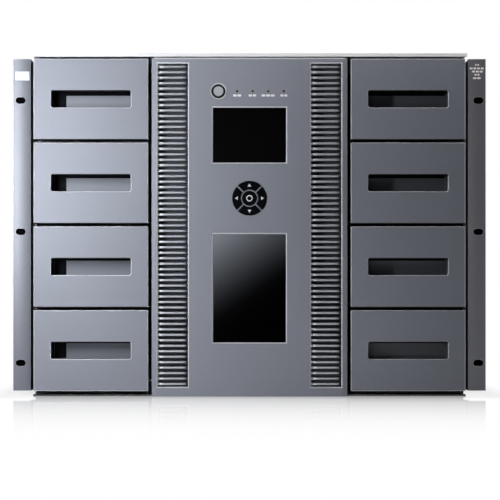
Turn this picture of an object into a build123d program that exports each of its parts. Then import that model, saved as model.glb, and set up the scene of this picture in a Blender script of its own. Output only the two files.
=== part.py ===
from build123d import *
import math
import os

os.makedirs("parts", exist_ok=True)

# rack mounting
rack_unit = 44.45
ear_width = 17.7
slot_edge = 7.45
slot_length = 10.2
slot_width = 6.8
slot_base = 33.4
slot_units = 3
slot_rows = 3
ear_base = 5.3
ear_head = 4.2
ear_sheet = 2.0
ear_setback = 14.0
ear_slit = 2.6
ear_leg = 38.0

# tape cartridge and the place that holds it
cartridge_width = 102.0
cartridge_length = 105.4
cartridge_height = 21.5
cell_side_play = 4.0
cell_end_play = 2.6
cell_height_play = 1.5
column_count = 4
row_count = 3
bay_count = 4
tray_sheet = 2.0
fin_depth = 20.0
grip_zone = 62.0

# magazine face with its finger pocket
face_base = 5.6
face_gap = 2.9
face_depth = 14.0
face_skin = 3.0
face_wall = 2.5
face_edge = 0.9
tray_lift = 3.5
tray_head = 1.0
pocket_width = 80.4
pocket_height = 16.8
pocket_depth = 26.0
pocket_undercut = 7.0
pocket_corner = 2.0
pocket_wall = 2.0
pocket_lip = 1.0

# case sheets and magazine shelves
aisle_half = 104.0
case_sheet = 1.5
shelf_sheet = 1.2
shelf_flange = 20.0
shelf_lip = 2.0
shelf_play = 0.3
lip_play = 0.8
flange_play = 1.0
face_play = 0.8
wall_setback = 16.0
shelf_setback = 4.0
top_rise = 6.0
hem_height = 3.4
hem_front = 4.0
bezel_flange = 20.0

# center bezel
bezel_width = 196.4
bezel_base = 0.3
bezel_rise = 0.1
bezel_proud = 3.0
bezel_skin = 3.0
bezel_wall = 2.5
bezel_slope_width = 4.3
bezel_slope_depth = 0.8
bezel_edge = 0.8
panel_gap = 3.8
boss_radius = 4.0
boss_spread = 46.0
boss_inset = 12.0
mouth_edge = 1.0
vent_width = 30.4
vent_spread = 77.1
vent_base = 10.0
vent_height = 325.0
vent_rim = 2.0
slat_pitch = 5.51
slat_height = 2.2
slat_round = 0.7
slat_bow = 3.4
filter_sheet = 1.5
display_width = 73.6
display_height = 55.4
display_center = 263.1
window_width = 73.3
window_height = 109.0
window_center = 109.1
glass_sheet = 3.0
glass_rim = 2.0

# keys, button and lights
key_proud = 1.2
key_travel = 1.2
key_play = 0.25
keypad_center = 199.5
keypad_radius = 17.5
keypad_hub = 8.6
ok_radius = 7.4
key_web = 1.2
key_arm = 13.0
key_flange = 1.2
key_flange_sheet = 1.0
key_rest = 0.2
key_round = 0.5
stem_radius = 2.0
control_row = 307.1
power_x = -31.2
power_radius = 5.4
power_hole = 7.2
power_flange = 8.6
light_first = -12.4
light_pitch = 15.63
light_count = 4
light_radius = 1.2
light_play = 0.1
board_gap = 8.0
board_sheet = 1.6
board_half = 57.0
board_below = 23.5
board_above = 8.9
switch_size = 6.0
switch_play = 0.4

# picking robot
rod_radius = 4.0
rod_inset = 5.0
rod_z = 9.5
rod_play = 0.3
rod_seat = 0.05
rod_tab = 8.0
rod_tab_half = 5.2
rod_tab_height = 15.0
rod_front = 17.0
rod_behind = 99.0
mast_offset = 92.0
carriage_depth = 16.0
carriage_base = 3.5
carriage_height = 12.0
post_inset = 12.0
post_radius = 5.0
post_play = 0.3
bridge_sheet = 6.0
bridge_gap = 1.5
screw_radius = 4.0
screw_core = 3.2
screw_pitch = 8.0
collar_gap = 0.8
collar_height = 14.0
collar_side = 6.0
web_half = 30.0
web_sheet = 4.5
web_gap = 0.5
arm_sheet = 5.5
arm_back = 22.0
hub_radius = 12.0
hub_play = 0.3
hub_depth = 4.0
cradle_gap = 0.3
cradle_size = 110.0
cradle_wall = 2.0
cradle_room = 27.0
cradle_roof_half = 30.0
tongue_half = 16.0
tongue_sheet = 3.0
tongue_play = 0.4
tongue_rear = 50.0
tongue_front = 55.0
jaw_width = 5.0
jaw_depth = 4.0
jaw_height = 9.0
gripper_reach = 46.0
reader_width = 24.0
reader_height = 18.0
reader_depth = 10.0
motor_size = 28.0
motor_height = 34.0
motor_inset = 5.0
belt_width = 5.0
belt_sheet = 1.0
belt_play = 0.3
belt_edge = 1.0
belt_clear = 1.0
pulley_radius = 4.0
pulley_z = 9.2
idler_front = 24.0
belt_behind = 87.0
shaft_radius = 1.5
shaft_play = 0.3
shaft_tab = 1.5
shaft_tab_gap = 0.5
travel_motor_radius = 7.4
travel_motor_length = 40.0

# drives, supplies, controller and fan at the rear
drive_gap = 106.0
drive_width = 156.0
drive_height = 80.0
drive_head = 4.4
drive_length = 217.0
drive_sheet = 2.0
drive_count = 2
drive_play = 0.3
drive_mouth_width = 104.0
drive_mouth_height = 24.0
drive_mouth_depth = 1.0
cage_sheet = 1.5
cage_shelf = 1.2
cage_play = 2.5
cage_setback = 3.0
face_plate = 1.5
plate_lap = 2.0
tab_width = 40.0
tab_sheet = 5.0
tab_reach = 16.0
tab_lip = 4.0
tab_lip_height = 10.0
supply_side = 12.2
supply_height = 80.0
supply_length = 186.0
supply_count = 2
supply_gap = 4.0
inlet_width = 24.4
inlet_height = 17.0
inlet_depth = 12.0
inlet_wall = 2.5
inlet_drop = 18.0
inlet_pin = 1.0
pin_spread = 7.0
controller_side = 12.2
controller_height = 60.0
controller_length = 150.0
port_size = 12.0
port_wall = 2.0
port_depth = 13.0
port_count = 4
port_pitch = 22.0
port_rise = 14.0
opening_play = 0.5
fan_size = 80.0
fan_depth = 25.0
fan_side = 28.0
fan_z = 230.0
fan_bore = 37.0
fan_tip_play = 1.5
fan_hub = 14.0
fan_blades = 7
blade_sheet = 1.6
blade_turn = 38.0
blade_depth = 14.0
hub_bar = 4.0
guard_pitch = 8.0
guard_slot = 4.5
rear_vent_rows = 9
rear_vent_length = 90.0
screw_head = 3.2
screw_rise = 1.8
screw_slot = 0.8

# heights and widths that follow
row_height = cartridge_height + cell_height_play
tray_height = row_count * row_height + (row_count + 1) * tray_sheet
face_height = tray_lift + tray_height + tray_head
bay_pitch = face_height + face_gap
stack_top = face_base + (bay_count - 1) * bay_pitch + face_height
bezel_top = stack_top + bezel_rise
case_height = bezel_top + top_rise
case_top = case_height - case_sheet
column_pitch = cartridge_width + cell_side_play + tray_sheet
tray_mouth = aisle_half + shelf_sheet + lip_play
tray_outer = tray_mouth + cartridge_length + cell_end_play + tray_sheet
wall_inner = tray_outer + flange_play + shelf_sheet
case_half = wall_inner + case_sheet
ear_inner = case_half + ear_slit
rack_width = 2 * (ear_inner + ear_width)
slot_columns = rack_width - 2 * slot_edge
ear_height = case_height - ear_head - ear_base
bezel_half = bezel_width / 2
face_inner = bezel_half + panel_gap
face_outer = wall_inner - face_play
face_middle = (face_inner + face_outer) / 2
board_base = keypad_center - board_below
board_top = control_row + board_above
slat_count = int((vent_height - slat_height) / slat_pitch) + 1

# depths that follow, the magazine faces lie at y_face
axis_travel = (column_count - 1) * column_pitch
axis_start = face_depth + grip_zone + (column_pitch - tray_sheet) / 2
drive_start = axis_start + axis_travel + drive_gap
case_depth = drive_start + drive_length
front_reach = bezel_proud + key_proud
rear_reach = face_plate + tab_reach
y_face = front_reach - (front_reach + case_depth + rear_reach) / 2
y_key = y_face - front_reach
y_bezel = y_face - bezel_proud
y_inside = y_bezel + bezel_skin
y_case = y_face + face_depth
slat_depth = y_case - y_inside - filter_sheet
y_wall = y_case + wall_setback
y_cells = y_case + grip_zone
y_tray_back = y_cells + column_count * column_pitch + tray_sheet
y_axis = y_face + axis_start
y_drive = y_face + drive_start
y_back = y_face + case_depth
y_mast = y_axis - mast_offset
y_rod_end = y_axis + axis_travel + rod_behind
y_idler = y_face + idler_front
y_pulley = y_axis + axis_travel + belt_behind

# robot heights that follow
cradle_floor = face_base + tray_lift + tray_sheet
cradle_base = cradle_floor - cradle_wall
arm_top = cradle_base - cradle_gap
arm_base = arm_top - arm_sheet
carriage_top = carriage_base + carriage_height
collar_base = carriage_top + collar_gap
lift_range = (bay_count - 1) * bay_pitch + (row_count - 1) * (row_height + tray_sheet)
bridge_base = collar_base + collar_height + lift_range + bridge_gap
cradle_top = cradle_floor + cradle_room
belt_outer = aisle_half - belt_edge
carriage_half = belt_outer - belt_width - belt_clear
rod_x = carriage_half - rod_inset
motor_x = carriage_half - motor_inset - motor_size / 2
collar_half = motor_x - motor_size / 2 - collar_side
post_x = collar_half - post_inset
y_carriage = y_mast - carriage_depth / 2
y_web = y_mast + carriage_depth / 2 + web_gap


def block(x0, x1, y0, y1, z0, z1):
    return Pos((x0 + x1) / 2, (y0 + y1) / 2, (z0 + z1) / 2) * Box(abs(x1 - x0), y1 - y0, z1 - z0)


def prism(sketch, y0, y1):
    return Pos(0, y1, 0) * extrude(Plane.XZ * sketch, amount=y1 - y0)


def rod_along_y(radius, x, z, y0, y1):
    return Pos(x, (y0 + y1) / 2, z) * Rot(90, 0, 0) * Cylinder(radius, y1 - y0)


def rod_along_x(radius, y, z, x0, x1):
    return Pos((x0 + x1) / 2, y, z) * Rot(0, 90, 0) * Cylinder(radius, abs(x1 - x0))


def rod_along_z(radius, x, y, z0, z1):
    return Pos(x, y, (z0 + z1) / 2) * Cylinder(radius, z1 - z0)


def mirrored(shape):
    return mirror(shape, about=Plane.YZ)


def front_edges(shape, y, x0, x1, z0, z1):
    # edges that lie on the plane y inside a rectangle of x and z
    found = []
    for edge in shape.edges():
        low, high = edge.bounding_box().min, edge.bounding_box().max
        flat = abs(low.Y - y) < 0.01 and abs(high.Y - y) < 0.01
        if flat and low.X > x0 and high.X < x1 and low.Z > z0 and high.Z < z1:
            found.append(edge)
    return found


def bay_base(bay):
    return face_base + bay * bay_pitch


def magazine_face(bay):
    z0 = bay_base(bay)
    z1 = z0 + face_height
    middle = (z0 + z1) / 2
    shell = block(face_inner, face_outer, y_face, y_case, z0, z1)
    shell = fillet(shell.edges().group_by(Axis.Y)[0], face_edge)
    shell -= block(face_inner + face_wall, face_outer - face_wall, y_face + face_skin, y_case,
                   z0 + face_wall, z1 - face_wall)
    half = pocket_width / 2
    low = middle - pocket_height / 2
    high = middle + pocket_height / 2 + pocket_undercut
    back = y_face + pocket_depth
    shell += block(face_middle - half - pocket_wall, face_middle + half + pocket_wall, y_face + face_skin,
                   back + pocket_wall, low - pocket_wall, high + pocket_wall)
    shell -= block(face_middle - half, face_middle + half, y_face + face_skin, back, low, high)
    mouth = Pos(face_middle, middle) * RectangleRounded(pocket_width, pocket_height, pocket_corner)
    shell -= prism(mouth, y_face, y_face + face_skin)
    lip = front_edges(shell, y_face, face_middle - half - 1, face_middle + half + 1, low - 1, high)
    return fillet(lip, pocket_lip)


def magazine_tray(bay):
    z0 = bay_base(bay) + tray_lift
    z1 = z0 + tray_height
    bulkhead = y_cells - tray_sheet
    pieces = []
    for level in range(row_count + 1):
        start = y_case if level in (0, row_count) else bulkhead
        low = z0 + level * (row_height + tray_sheet)
        pieces.append(block(tray_mouth, tray_outer, start, y_tray_back, low, low + tray_sheet))
    wall = tray_outer - tray_sheet
    pieces.append(block(wall, tray_outer, y_case, y_tray_back, z0, z1))
    pieces.append(block(tray_mouth, tray_mouth + tray_sheet, y_case, y_cells, z0, z1))
    pieces.append(block(tray_mouth, tray_outer, bulkhead, y_cells, z0, z1))
    pieces.append(block(tray_mouth, tray_outer, y_tray_back - tray_sheet, y_tray_back, z0, z1))
    for column in range(1, column_count):
        y1 = y_cells + column * column_pitch
        pieces.append(block(wall - fin_depth, tray_outer, y1 - tray_sheet, y1, z0, z1))
    return pieces[0].fuse(*pieces[1:])


def magazine_shelf(bay):
    top = bay_base(bay) + tray_lift - shelf_play
    low = top - shelf_sheet
    y0 = y_wall + shelf_setback
    shelf = block(aisle_half, wall_inner, y0, y_tray_back, low, top)
    shelf += block(aisle_half, aisle_half + shelf_sheet, y0, y_tray_back, low, top + shelf_lip)
    return shelf + block(wall_inner - shelf_sheet, wall_inner, y0, y_tray_back, low, low + shelf_flange)


def key_wedge(offset):
    reach = 2 * keypad_radius
    return Polygon((0, offset), (reach, offset + reach), (-reach, offset + reach), align=None)


def arc_sketch(inner, outer, offset, turn):
    ring = Circle(outer) - Circle(inner)
    return Pos(0, keypad_center) * Rot(0, 0, turn) * (ring & key_wedge(offset))


web_offset = key_web / math.sqrt(2)
key_offset = web_offset + key_play * math.sqrt(2)
key_turns = {"up": 0, "left": 90, "down": 180, "right": 270}
y_flange = y_inside + key_rest
y_stem = y_flange + key_flange_sheet
y_board = y_inside + board_gap
y_switch = y_board - switch_play - key_travel


def arc_key(turn):
    cap = prism(arc_sketch(keypad_hub + key_play, keypad_radius - key_play, key_offset, turn), y_key, y_stem)
    cap = fillet(cap.edges().group_by(Axis.Y)[0], key_round)
    cap += prism(arc_sketch(key_arm, keypad_radius + key_flange, key_offset, turn), y_flange, y_stem)
    angle = math.radians(90 + turn)
    stem_x = key_arm * math.cos(angle)
    stem_z = keypad_center + key_arm * math.sin(angle)
    return cap + rod_along_y(stem_radius, stem_x, stem_z, y_stem, y_switch)


def round_key(x, z, radius, flange, y_front):
    cap = rod_along_y(radius, x, z, y_front, y_stem)
    cap = fillet(cap.edges().group_by(Axis.Y)[0], key_round)
    cap += rod_along_y(flange, x, z, y_flange, y_stem)
    return cap + rod_along_y(stem_radius, x, z, y_stem, y_switch)


def light_positions():
    return [light_first + light_pitch * index for index in range(light_count)]


def center_bezel():
    half = bezel_half
    slope_x = half - bezel_slope_width
    slope_y = y_bezel + bezel_slope_depth
    outline = Polygon((-half, y_case), (-half, slope_y), (-slope_x, y_bezel), (slope_x, y_bezel),
                      (half, slope_y), (half, y_case), align=None)
    bezel = Pos(0, 0, bezel_base) * extrude(outline, amount=bezel_top - bezel_base, dir=(0, 0, 1))
    bezel = chamfer(front_edges(bezel, y_bezel, -half, half, bezel_top - 1, bezel_top + 1), bezel_edge)
    bezel -= block(bezel_wall - half, half - bezel_wall, y_inside, y_case,
                   bezel_base + bezel_wall, bezel_top - bezel_wall)
    for x in (-boss_spread, boss_spread):
        for z in (bezel_base + boss_inset, bezel_top - boss_inset):
            bezel += rod_along_y(boss_radius, x, z, y_inside, y_case)
    mouths = [(0, display_center, display_width, display_height),
              (0, window_center, window_width, window_height),
              (-vent_spread, vent_base + vent_height / 2, vent_width, vent_height),
              (vent_spread, vent_base + vent_height / 2, vent_width, vent_height)]
    for x, z, width, height in mouths:
        bezel -= block(x - width / 2, x + width / 2, y_bezel, y_inside, z - height / 2, z + height / 2)
    bezel -= rod_along_y(power_hole, power_x, control_row, y_bezel, y_inside)
    lips = []
    for x, z, width, height in mouths + [(power_x, control_row, 2 * power_hole, 2 * power_hole)]:
        lips += front_edges(bezel, y_bezel, x - width / 2 - 1, x + width / 2 + 1,
                            z - height / 2 - 1, z + height / 2 + 1)
    bezel = chamfer(lips, mouth_edge)
    holes = Pos(0, keypad_center) * Circle(ok_radius + key_play)
    for turn in key_turns.values():
        holes += arc_sketch(keypad_hub, keypad_radius, web_offset, turn)
    for x in light_positions():
        holes += Pos(x, control_row) * Circle(light_radius + light_play)
    return bezel - prism(holes, y_bezel, y_inside)


def vent_grille(x):
    z0 = vent_base - vent_rim
    z1 = vent_base + vent_height + vent_rim
    half = vent_width / 2
    y1 = y_inside + slat_depth
    rim = block(x - half - vent_rim, x + half + vent_rim, y_inside, y1, z0, z1)
    rim -= block(x - half, x + half, y_inside, y1, vent_base, vent_base + vent_height)
    reach = half + vent_rim / 2
    profile = Plane.YZ * RectangleRounded(slat_depth, slat_height, slat_round)
    plan = Polygon((-reach, y1), (-reach, y_inside + slat_bow), (slat_bow - reach, y_inside),
                   (reach - slat_bow, y_inside), (reach, y_inside + slat_bow), (reach, y1), align=None)
    slat = Pos(0, (y_inside + y1) / 2, 0) * extrude(profile, amount=reach, both=True)
    slat &= extrude(plan, amount=slat_height, both=True)
    low = vent_base + vent_height / 2 - (slat_count - 1) * slat_pitch / 2
    slats = [Pos(x, 0, low + index * slat_pitch) * slat for index in range(slat_count)]
    return rim.fuse(*slats)


def vent_filter(x):
    half = vent_width / 2 + vent_rim
    return block(x - half, x + half, y_case - filter_sheet, y_case, vent_base - vent_rim,
                 vent_base + vent_height + vent_rim)


def glass(width, height, center):
    return block(-width / 2 - glass_rim, width / 2 + glass_rim, y_inside, y_inside + glass_sheet,
                 center - height / 2 - glass_rim, center + height / 2 + glass_rim)


def control_board():
    y1 = y_board + board_sheet
    board = block(-board_half, board_half, y_board, y1, board_base, board_top)
    inset = 2 * stem_radius
    for x in (-board_half + inset, board_half - inset):
        for z in (board_base + inset, board_top - inset):
            board += rod_along_y(stem_radius, x, z, y_inside, y_board)
    spots = [(0, keypad_center), (power_x, control_row)]
    for turn in key_turns.values():
        angle = math.radians(90 + turn)
        spots.append((key_arm * math.cos(angle), keypad_center + key_arm * math.sin(angle)))
    reach = switch_size / 2
    for x, z in spots:
        board += block(x - reach, x + reach, y_board - switch_play, y_board, z - reach, z + reach)
    for step in range(3):
        x = (step - 1) * 2 * board_half / 3
        board += block(x - 2 * reach, x + 2 * reach, y1, y1 + board_sheet,
                       display_center - 2 * reach, display_center + 2 * reach)
    return board


def rack_ear():
    y0 = y_face + ear_setback
    jog = y_wall + ear_sheet
    inner = ear_inner
    points = [(rack_width / 2, y0), (inner, y0), (inner, jog), (case_half, jog),
              (case_half, jog + ear_sheet + ear_leg), (case_half + ear_sheet, jog + ear_sheet + ear_leg),
              (case_half + ear_sheet, jog + ear_sheet), (inner + ear_sheet, jog + ear_sheet),
              (inner + ear_sheet, y0 + ear_sheet), (rack_width / 2, y0 + ear_sheet)]
    ear = Pos(0, 0, ear_base) * extrude(Polygon(*points, align=None), amount=ear_height, dir=(0, 0, 1))
    for row in range(slot_rows):
        z = slot_base + row * slot_units * rack_unit
        slot = Pos(slot_columns / 2, z) * SlotOverall(slot_length, slot_width)
        ear -= prism(slot, y0, y0 + ear_sheet)
    return ear


def base_pan():
    pan = block(-case_half, case_half, y_case, y_back, 0, case_sheet)
    reach = bezel_half - case_sheet
    pan += block(-reach, reach, y_case, y_case + case_sheet, 0, case_sheet + bezel_flange)
    for y0 in (y_face + rod_front, y_rod_end - rod_tab):
        for side in (-1, 1):
            x = side * rod_x
            tab = block(x - rod_tab_half, x + rod_tab_half, y0, y0 + rod_tab, 0, rod_tab_height)
            pan += tab - rod_along_y(rod_radius + rod_seat, x, rod_z, y0, y0 + rod_tab)
    x = -belt_outer - shaft_tab_gap
    reach = pulley_radius
    tab = block(x - shaft_tab, x, y_idler - reach, y_idler + reach, 0, pulley_z + reach)
    return pan + (tab - rod_along_x(shaft_radius + shaft_play, y_idler, pulley_z, x - shaft_tab, x))


def top_cover():
    y0 = y_face + hem_front
    cover = block(-case_half, case_half, y0, y_back, case_top, case_height)
    cover += block(-case_half, case_half, y0, y0 + case_sheet, case_height - hem_height, case_height)
    reach = bezel_half - case_sheet
    return cover + block(-reach, reach, y_case, y_case + case_sheet, case_top - bezel_flange, case_height)


def side_wall():
    return block(wall_inner, case_half, y_wall, y_back, case_sheet, case_top)


cage_half = drive_width / 2 + cage_play
cage_outer = cage_half + cage_sheet
supply_width = wall_inner - supply_side - cage_outer - supply_gap
controller_width = wall_inner - controller_side - cage_outer - supply_gap
supply_x = -cage_outer - supply_gap - supply_width / 2
controller_x = cage_outer + supply_gap + controller_width / 2
fan_x = cage_outer + fan_side + fan_size / 2
drive_pitch = drive_height + drive_head
drive_bays = int((case_top - face_base) / drive_pitch)


def drive_base(bay):
    return face_base + bay * drive_pitch + cage_shelf + drive_play


def supply_base(index):
    return case_sheet + drive_play + index * (supply_height + drive_play + supply_gap)


def rear_openings():
    spots = [(0, drive_base(bay), drive_width, drive_height) for bay in range(drive_bays)]
    spots += [(supply_x, supply_base(index), supply_width, supply_height) for index in range(supply_count)]
    spots.append((controller_x, case_sheet, controller_width - 2 * plate_lap, controller_height - plate_lap))
    return spots


def rear_panel():
    y0 = y_back - case_sheet
    panel = block(-wall_inner, wall_inner, y0, y_back, case_sheet, case_top)
    for x, z, width, height in rear_openings():
        reach = width / 2 + opening_play
        low = max(z - opening_play, case_sheet)
        panel -= block(x - reach, x + reach, y0, y_back, low, z + height + opening_play)
    rows = int((fan_bore - guard_slot) / guard_pitch)
    for row in range(-rows, rows + 1):
        z = row * guard_pitch
        reach = math.sqrt(fan_bore ** 2 - (abs(z) + guard_slot / 2) ** 2)
        panel -= block(fan_x - reach, fan_x + reach, y0, y_back,
                       fan_z + z - guard_slot / 2, fan_z + z + guard_slot / 2)
    top = supply_base(supply_count) + 2 * guard_pitch
    for row in range(rear_vent_rows):
        z = top + row * guard_pitch
        reach = rear_vent_length / 2
        panel -= block(supply_x - reach, supply_x + reach, y0, y_back, z, z + guard_slot)
    return panel


def drive_cage():
    y0 = y_drive + cage_setback
    y1 = y_back - case_sheet
    walls = [block(side * cage_half, side * (cage_half + cage_sheet), y0, y1, case_sheet, case_top)
             for side in (-1, 1)]
    shelves = []
    for bay in range(drive_bays):
        z1 = drive_base(bay) - drive_play
        shelves.append(block(-cage_half - cage_sheet, cage_half + cage_sheet, y0, y1, z1 - cage_shelf, z1))
    for index in range(1, supply_count):
        z1 = supply_base(index) - drive_play
        shelves.append(block(-wall_inner, -cage_half, y_back - supply_length, y1, z1 - cage_shelf, z1))
    return walls[0].fuse(walls[1], *shelves)


def pull_tab(x, z):
    y0 = y_back + face_plate
    reach = tab_width / 2
    tab = block(x - reach, x + reach, y0, y0 + tab_reach, z - tab_sheet / 2, z + tab_sheet / 2)
    return tab + block(x - reach, x + reach, y0 + tab_reach - tab_lip, y0 + tab_reach,
                       z - tab_lip_height / 2, z + tab_lip_height / 2)


def rear_plate(x, z, width, height):
    reach = width / 2 + plate_lap
    return block(x - reach, x + reach, y_back, y_back + face_plate, z, z + height)


def tape_drive(bay):
    z0 = drive_base(bay)
    half = drive_width / 2
    body = block(-half, half, y_drive, y_back, z0, z0 + drive_height)
    body -= block(drive_sheet - half, half - drive_sheet, y_drive + 2 * drive_sheet, y_back - drive_sheet,
                  z0, z0 + drive_height - drive_sheet)
    middle = z0 + drive_height / 2
    body -= block(-drive_mouth_width / 2, drive_mouth_width / 2, y_drive, y_drive + drive_mouth_depth,
                  middle - drive_mouth_height / 2, middle + drive_mouth_height / 2)
    body += rear_plate(0, z0, drive_width, drive_height)
    return body + pull_tab(0, z0 + drive_height / 3)


def bay_blank(bay):
    return rear_plate(0, drive_base(bay), drive_width, drive_height)


def power_supply(index):
    z0 = supply_base(index)
    half = supply_width / 2
    y0 = y_back - supply_length
    body = block(supply_x - half, supply_x + half, y0, y_back, z0, z0 + supply_height)
    body -= block(supply_x - half + drive_sheet, supply_x + half - drive_sheet, y0 + drive_sheet,
                  y_back - drive_sheet, z0, z0 + supply_height - drive_sheet)
    body += rear_plate(supply_x, z0, supply_width, supply_height)
    x = supply_x - half / 2
    z = z0 + supply_height - inlet_drop
    y1 = y_back + face_plate
    floor = y1 - inlet_depth
    body += block(x - inlet_width / 2 - inlet_wall, x + inlet_width / 2 + inlet_wall, floor - inlet_wall, y1,
                  z - inlet_height / 2 - inlet_wall, z + inlet_height / 2 + inlet_wall)
    body -= block(x - inlet_width / 2, x + inlet_width / 2, floor, y1,
                  z - inlet_height / 2, z + inlet_height / 2)
    for step in (-1, 0, 1):
        body += block(x + step * pin_spread - inlet_pin, x + step * pin_spread + inlet_pin, floor,
                      y1 - 2 * inlet_pin, z - 2 * inlet_pin, z + 2 * inlet_pin)
    return body + pull_tab(supply_x, z0 + supply_height / 4)


def controller_module():
    half = controller_width / 2
    z0 = case_sheet
    y1 = y_back + face_plate
    module = block(controller_x - half, controller_x + half, y_back, y1, z0, z0 + controller_height)
    inside = half - 2 * plate_lap
    module += block(controller_x - inside, controller_x + inside, y_back - controller_length, y_back,
                    z0, z0 + face_plate)
    module += block(controller_x - inside, controller_x + inside, y_back - 2 * port_depth, y_back,
                    z0, z0 + port_rise)
    z = z0 + port_rise + port_size / 2
    for index in range(port_count):
        x = controller_x + (index - (port_count - 1) / 2) * port_pitch
        reach = port_size / 2
        module += block(x - reach - port_wall, x + reach + port_wall, y1 - port_depth - port_wall, y1,
                        z - reach - port_wall, z + reach + port_wall)
        module -= block(x - reach, x + reach, y1 - port_depth, y1, z - reach, z + reach)
    return module


def fan_frame():
    y1 = y_back - case_sheet
    y0 = y1 - fan_depth
    reach = fan_size / 2
    frame = block(fan_x - reach, fan_x + reach, y0, y1, fan_z - reach, fan_z + reach)
    frame -= rod_along_y(fan_bore, fan_x, fan_z, y0, y1)
    for bar in (block(fan_x - reach, fan_x + reach, y0, y0 + hub_bar, fan_z - hub_bar, fan_z + hub_bar),
                block(fan_x - hub_bar, fan_x + hub_bar, y0, y0 + hub_bar, fan_z - reach, fan_z + reach)):
        frame += bar
    return frame + rod_along_y(fan_hub, fan_x, fan_z, y0, y0 + hub_bar)


def fan_rotor():
    y0 = y_back - case_sheet - fan_depth + hub_bar + hub_play
    y1 = y_back - case_sheet - fan_tip_play
    rotor = rod_along_y(fan_hub, fan_x, fan_z, y0, y1)
    middle = (y0 + y1) / 2
    inner = fan_hub / 2
    outer = fan_bore - fan_tip_play
    blade = Pos(0, 0, (inner + outer) / 2) * Rot(0, 0, blade_turn) * Box(blade_sheet, blade_depth, outer - inner)
    sweep = rod_along_y(outer, 0, 0, -blade_depth, blade_depth)
    for index in range(fan_blades):
        turned = Rot(0, index * 360 / fan_blades, 0) * blade
        rotor += Pos(fan_x, middle, fan_z) * (turned & sweep)
    return rotor


def robot_rails():
    return [rod_along_y(rod_radius, side * rod_x, rod_z, y_face + rod_front, y_rod_end) for side in (-1, 1)]


def robot_carriage():
    y1 = y_carriage + carriage_depth
    body = block(-carriage_half, carriage_half, y_carriage, y1, carriage_base, carriage_top)
    for side in (-1, 1):
        body -= rod_along_y(rod_radius + rod_play, side * rod_x, rod_z, y_carriage, y1)
    clamp = pulley_z + pulley_radius + belt_sheet + 2 * belt_play
    return body + block(-belt_outer, -carriage_half, y_carriage, y1, clamp, carriage_top)


def lift_mast():
    y0 = y_carriage
    mast = block(-collar_half, collar_half, y0, y0 + carriage_depth, bridge_base, bridge_base + bridge_sheet)
    for side in (-1, 1):
        mast += rod_along_z(post_radius, side * post_x, y_mast, carriage_top, bridge_base)
    return mast


def lift_screw():
    screw = rod_along_z(screw_core, 0, y_mast, carriage_top, bridge_base)
    turns = int((bridge_base - carriage_top - screw_pitch) / screw_pitch)
    for index in range(turns):
        z = carriage_top + screw_pitch * (index + 0.5)
        screw += rod_along_z(screw_radius, 0, y_mast, z, z + screw_pitch / 2)
    return screw


def lift_motor():
    reach = motor_size / 2
    y0 = y_carriage + carriage_depth - motor_size
    motor = block(motor_x - reach, motor_x + reach, y0, y0 + motor_size,
                  carriage_top, carriage_top + motor_height)
    return chamfer(motor.edges().filter_by(Axis.Z), reach / 5)


def lift_platform():
    y1 = y_web + web_sheet
    top = collar_base + collar_height
    body = block(-collar_half, collar_half, y_carriage, y1, collar_base, top)
    for side in (-1, 1):
        body -= rod_along_z(post_radius + post_play, side * post_x, y_mast, collar_base, top)
    body -= rod_along_z(screw_radius + post_play, 0, y_mast, collar_base, top)
    body += block(-web_half, web_half, y_web, y1, arm_base, top)
    body += block(-web_half, web_half, y_web, y_axis + arm_back, arm_base, arm_top)
    return body - rod_along_z(hub_radius + hub_play, 0, y_axis, arm_base, arm_top)


def picker_cradle():
    half = cradle_size / 2
    y0 = y_axis - half
    y1 = y_axis + half
    body = block(-half, half, y0, y1, cradle_base, cradle_floor)
    for side in (-1, 1):
        body += block(side * half, side * (half - cradle_wall), y0, y1, cradle_base, cradle_top + cradle_wall)
    body += block(-half, half, y_axis - cradle_roof_half, y_axis + cradle_roof_half,
                  cradle_top, cradle_top + cradle_wall)
    return body + rod_along_z(hub_radius, 0, y_axis, cradle_base - hub_depth, cradle_base)


def gripper():
    top = cradle_top - tongue_play
    low = top - tongue_sheet
    tip = y_axis + tongue_front
    body = block(-tongue_half, tongue_half, y_axis - tongue_rear, tip, low, top)
    for side in (-1, 1):
        body += block(side * tongue_half, side * (tongue_half - jaw_width), tip - jaw_depth, tip,
                      low - jaw_height, top)
    return body


def barcode_reader():
    x0 = cradle_size / 2
    reach = reader_width / 2
    low = cradle_floor + cradle_wall
    return block(x0, x0 + reader_depth, y_axis - reach, y_axis + reach, low, low + reader_height)


def travel_belt():
    inner = pulley_radius + belt_play
    outer = inner + belt_sheet
    x0 = -belt_outer
    x1 = x0 + belt_width
    loops = []
    for radius in (inner, outer):
        loop = block(x0, x1, y_idler, y_pulley, pulley_z - radius, pulley_z + radius)
        for y in (y_idler, y_pulley):
            loop += rod_along_x(radius, y, pulley_z, x0, x1)
        loops.append(loop)
    return loops[1] - loops[0]


def pulley(y, shaft_end):
    x0 = -belt_outer
    wheel = rod_along_x(pulley_radius, y, pulley_z, x0, x0 + belt_width)
    return wheel + rod_along_x(shaft_radius, y, pulley_z, shaft_end, x0)


motor_face = -belt_outer - shaft_tab_gap - shaft_tab


def travel_motor():
    x1 = motor_face
    x0 = x1 - travel_motor_length
    body = rod_along_x(travel_motor_radius, y_pulley, pulley_z, x0, x1)
    reach = travel_motor_radius
    return body + block(x0, x1, y_pulley - reach, y_pulley + reach, case_sheet, pulley_z - reach / 2)


def screw_head_shape():
    head = Pos(0, 0, screw_rise / 2) * Cylinder(screw_head, screw_rise)
    for turn in (0, 90):
        head -= Pos(0, 0, screw_rise) * Rot(0, 0, turn) * Box(1.4 * screw_head, screw_slot, screw_slot)
    return head


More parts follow.
